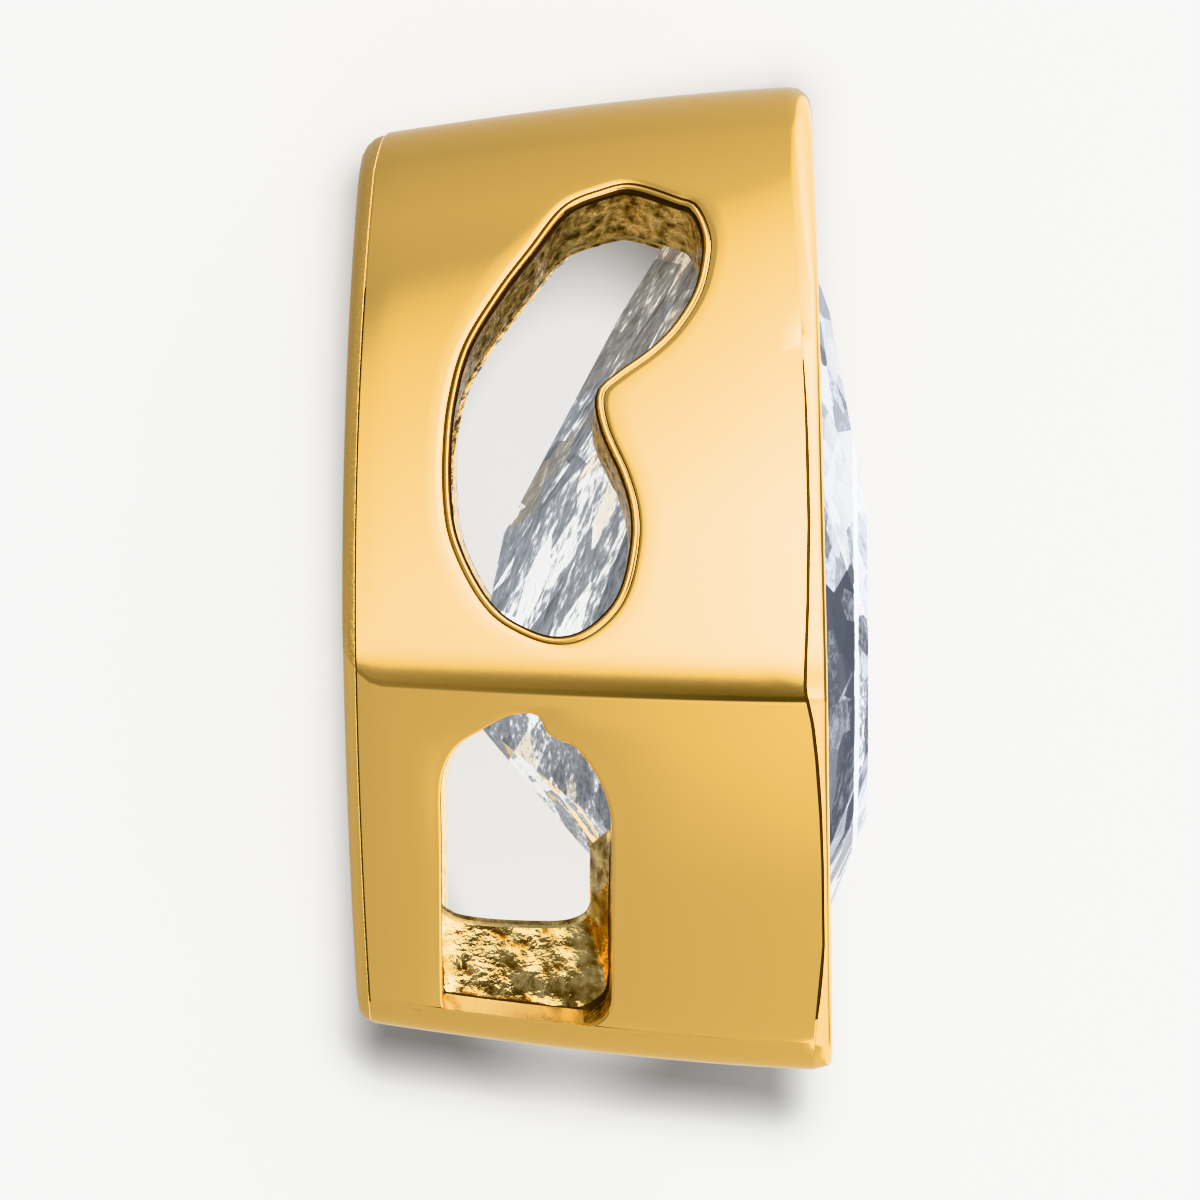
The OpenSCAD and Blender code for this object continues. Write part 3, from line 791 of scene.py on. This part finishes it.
studio = {
    "cameraDistance": 145.0,    # mm, square to the pendant's mid-plane
    "cameraAim": (-1.529, 1.127),
    "viewWidth": 12.072,        # mm across the picture at the mid-plane
    "floorColour": "#747473",
    "floorDepth": -3.9,         # mm from the mid-plane down to the paper
    "glow": 1.02,               # the paper glows, but for a painted shadow of the pendant
    "footprint": (2.0, 4.82),   # the painted shadow's half width and length in mm, and where it fades, from there
    "shade": (-0.15, 1.0),
    "shadeTaper": 0.17,         # it is longer on the right, as the pendant is, and lies a little left
    "shadeShift": -0.27,
    "paintedPoolGlow": 0.72,          # a painted pool of light glows below the windows: its half width and length in mm
    "patch": (2.2, 4.8),
    "patchFade": (0.7, 1.05),   # and where it fades, as shares of those
    "patchUp": 0.1,             # how far it lies off the middle
    # the strength of each light by the angle in degrees from the camera's line, up and sideways
    "room": [(-60, 0.97), (-35, 1.02), (-30, 0.6), (-22, 0.55), (6, 0.55), (12, 0.7), (60, 0.7), (84, 0.86),
             (100, 0.68)],
    "roomSides": [(-90, 1.0), (-45, 0.8), (-15, 0.86), (-12, 0.9), (-3, 1.0), (20, 1.3), (50, 1.6), (60, 1.4),
                  (68, 0.5)],
    "box": [(4.8, 0.0), (6.2, 0.5), (8.0, 1.0), (31, 1.0), (43, 0.7), (55, 0.47), (61, 0.38), (68, 0.28),
            (75, 0.16), (84, 0.02)],
    "boxSkew": (-1.5, 4.5),     # how far the box's far edge moves up with each degree sideways, and in all
    "boxSides": [(-60, 0.2), (-12, 3.6), (-3, 9.0), (25, 7.0), (52, 1.0), (62, 0.0)],
    "low": [(-45, 0.0), (-41, 0.25), (-36, 1.0), (-30, 0.8), (-26, 0.0)],  # a small box below the lens
    "lowSides": [(-12, 0.0), (-3, 1.0), (20, 1.0), (40, 0.0)],
    "lens": [(-27, 0.0), (-22, 1.0), (3.6, 1.0), (5.6, 0.0)],  # the dark of the camera and its stand
    "lensSides": [(-14, 0.1), (-6, 0.75), (8, 0.75), (15, 0.0)],
    "card": [(13, 0.0), (19, 2.4), (48, 2.4), (60, 0.0)],  # a white card to the right of all that
}
turned = layDown.to_3x3().normalized()
towardsCamera, upInPicture, rightInPicture = (turned @ Vector(v) for v in ((0, 0, 1), (0, 1, 0), (1, 0, 0)))

deselectAll()
bpy.ops.mesh.primitive_plane_add(size=4.0, location=(0, 0, 0))
floor = bpy.context.object
floor.name = "floor"
floor.visible_glossy = False  # the polished gold mirrors the room's light all round
floorMaterial, floorTree, floorShader = newMaterial("whitePaper")
floorShader.inputs["Base Color"].default_value = srgb(studio["floorColour"])
floorShader.inputs["Roughness"].default_value = 0.9
floorShader.inputs["Emission Color"].default_value = (1, 1, 1, 1)
under = layDown @ Vector((studio["cameraAim"][0] + studio["shadeShift"], studio["cameraAim"][1],
                          studio["floorDepth"]))
place = addNode(floorTree, "ShaderNodeTexCoord").outputs["Object"]
shifted = addNode(floorTree, "ShaderNodeMapping", {"Location": (-under.x, -under.y, 0)}, {"Vector": place})
# the paper glows, apart from a painted shadow of the pendant on it
sides = addNode(floorTree, "ShaderNodeVectorMath", {"operation": "ABSOLUTE"}, {0: shifted})
taper = addNode(floorTree, "ShaderNodeVectorMath",
                {"operation": "DOT_PRODUCT", 1: (studio["shadeTaper"], 0, 0)}, {0: shifted})
sides = addNode(floorTree, "ShaderNodeVectorMath", {"operation": "MULTIPLY_ADD", 1: (0, -1, 0)},
                {0: taper.outputs["Value"], 2: sides})
sides = addNode(floorTree, "ShaderNodeVectorMath",
                {"operation": "SUBTRACT", 1: [v / 1000 for v in studio["footprint"]] + [0]}, {0: sides})
sides = addNode(floorTree, "ShaderNodeVectorMath", {"operation": "MAXIMUM", 1: (0, 0, 0)}, {0: sides})
sides = addNode(floorTree, "ShaderNodeVectorMath", {"operation": "LENGTH"}, {0: sides})
unshaded = addNode(floorTree, "ShaderNodeMapRange",
                   {"From Min": studio["shade"][0] / 1000, "From Max": studio["shade"][1] / 1000,
                    "To Max": studio["glow"], "interpolation_type": "SMOOTHSTEP"},
                   {"Value": sides.outputs["Value"]})
# a painted pool of light: a second glow below the windows
squeezed = addNode(floorTree, "ShaderNodeMapping",
                   {"Scale": [1 / v for v in studio["patch"]] + [0],
                    "Location": (0, studio["patchUp"] / 1000, 0)}, {"Vector": shifted})
inside = addNode(floorTree, "ShaderNodeVectorMath", {"operation": "LENGTH"}, {0: squeezed})
patch = addNode(floorTree, "ShaderNodeMapRange",
                {"From Min": studio["patchFade"][0] / 1000, "From Max": studio["patchFade"][1] / 1000,
                 "To Min": studio["paintedPoolGlow"], "To Max": 0.0, "interpolation_type": "SMOOTHSTEP"},
                {"Value": inside.outputs["Value"]})
total = addNode(floorTree, "ShaderNodeMath", {"operation": "ADD"}, {0: unshaded, 1: patch})
floorTree.links.new(total.outputs[0], floorShader.inputs["Emission Strength"])
floor.data.materials.append(floorMaterial)

# A big soft box stands towards the picture's top, brighter to its right, in a grey room
world = bpy.data.worlds.new("studio")
bpy.context.scene.world = world
world.use_nodes = True
sky = world.node_tree
sky.nodes.clear()
ray = addNode(sky, "ShaderNodeTexCoord").outputs["Generated"]
ahead, up, side = (addNode(sky, "ShaderNodeVectorMath", {"operation": "DOT_PRODUCT", 1: v},
                           {0: ray}).outputs["Value"] for v in (towardsCamera, upInPicture, rightInPicture))
upTurn = addNode(sky, "ShaderNodeMath", {"operation": "ARCTAN2"}, {0: up, 1: ahead})
sideTurn = addNode(sky, "ShaderNodeMath", {"operation": "ARCSINE"}, {0: side})
upAngle, sideAngle = (addNode(sky, "ShaderNodeMath", {"operation": "MULTIPLY", 1: 180 / math.pi}, {0: turn})
                      for turn in (upTurn, sideTurn))
# the box's far edge runs askew, nearer on the left
skewed = addNode(sky, "ShaderNodeMath", {"operation": "MULTIPLY_ADD", 1: studio["boxSkew"][0]},
                 {0: sideAngle, 2: upAngle})
skewed = addNode(sky, "ShaderNodeMath", {"operation": "SUBTRACT", 1: studio["boxSkew"][1]}, {0: skewed})


def strengthAlong(angle, points):  # a light's strength by angle
    low, high = points[0][0], points[-1][0]
    most = max(v for _, v in points)
    place = addNode(sky, "ShaderNodeMapRange", {"From Min": low, "From Max": high}, {"Value": angle})
    stops = addNode(sky, "ShaderNodeValToRGB", None, {"Fac": place})
    for i, (x, v) in enumerate([points[0], points[-1]] + points[1:-1]):
        at = (x - low) / (high - low)
        stop = stops.color_ramp.elements.new(at) if i > 1 else stops.color_ramp.elements[-i]
        stop.color = (v / most, v / most, v / most, 1)
    return addNode(sky, "ShaderNodeMath", {"operation": "MULTIPLY", 1: most}, {0: stops})


nearEdge = strengthAlong(upAngle, studio["box"][:3] + [(90, 1.0)])
farEdge = strengthAlong(skewed, [(0, 1.0)] + studio["box"][3:])
edges = addNode(sky, "ShaderNodeMath", {"operation": "MULTIPLY"}, {0: nearEdge, 1: farEdge})
box = addNode(sky, "ShaderNodeMath", {"operation": "MULTIPLY"},
              {0: edges, 1: strengthAlong(sideAngle, studio["boxSides"])})
lit = strengthAlong(sideAngle, studio["card"])
for part in ("room", "low"):
    lit = addNode(sky, "ShaderNodeMath", {"operation": "MULTIPLY_ADD"},
                  {0: strengthAlong(upAngle, studio[part]),
                   1: strengthAlong(sideAngle, studio[part + "Sides"]), 2: lit})
lit = addNode(sky, "ShaderNodeMath", {"operation": "ADD"}, {0: lit, 1: box})
lens = addNode(sky, "ShaderNodeMath", {"operation": "MULTIPLY"},
               {0: strengthAlong(upAngle, studio["lens"]), 1: strengthAlong(sideAngle, studio["lensSides"])})
beside = addNode(sky, "ShaderNodeMath", {"operation": "SUBTRACT", 0: 1.0}, {1: lens})
strength = addNode(sky, "ShaderNodeMath", {"operation": "MULTIPLY"}, {0: lit, 1: beside})
background = addNode(sky, "ShaderNodeBackground", None, {"Strength": strength})
addNode(sky, "ShaderNodeOutputWorld", None, {"Surface": background})

cameraData = bpy.data.cameras.new("camera")
camera = bpy.data.objects.new("camera", cameraData)
bpy.context.scene.collection.objects.link(camera)
aim = layDown @ Vector((studio["cameraAim"][0], studio["cameraAim"][1], 0))
stand = Matrix((rightInPicture, upInPicture, towardsCamera)).transposed().to_4x4()
stand.translation = aim + towardsCamera * studio["cameraDistance"] / 1000
camera.matrix_world = stand
cameraData.sensor_width = 36
cameraData.lens = cameraData.sensor_width * studio["cameraDistance"] / studio["viewWidth"]
cameraData.clip_start, cameraData.clip_end = 0.01, 10
bpy.context.scene.camera = camera
bpy.context.scene.view_settings.view_transform = "Khronos PBR Neutral"
print("stage set")
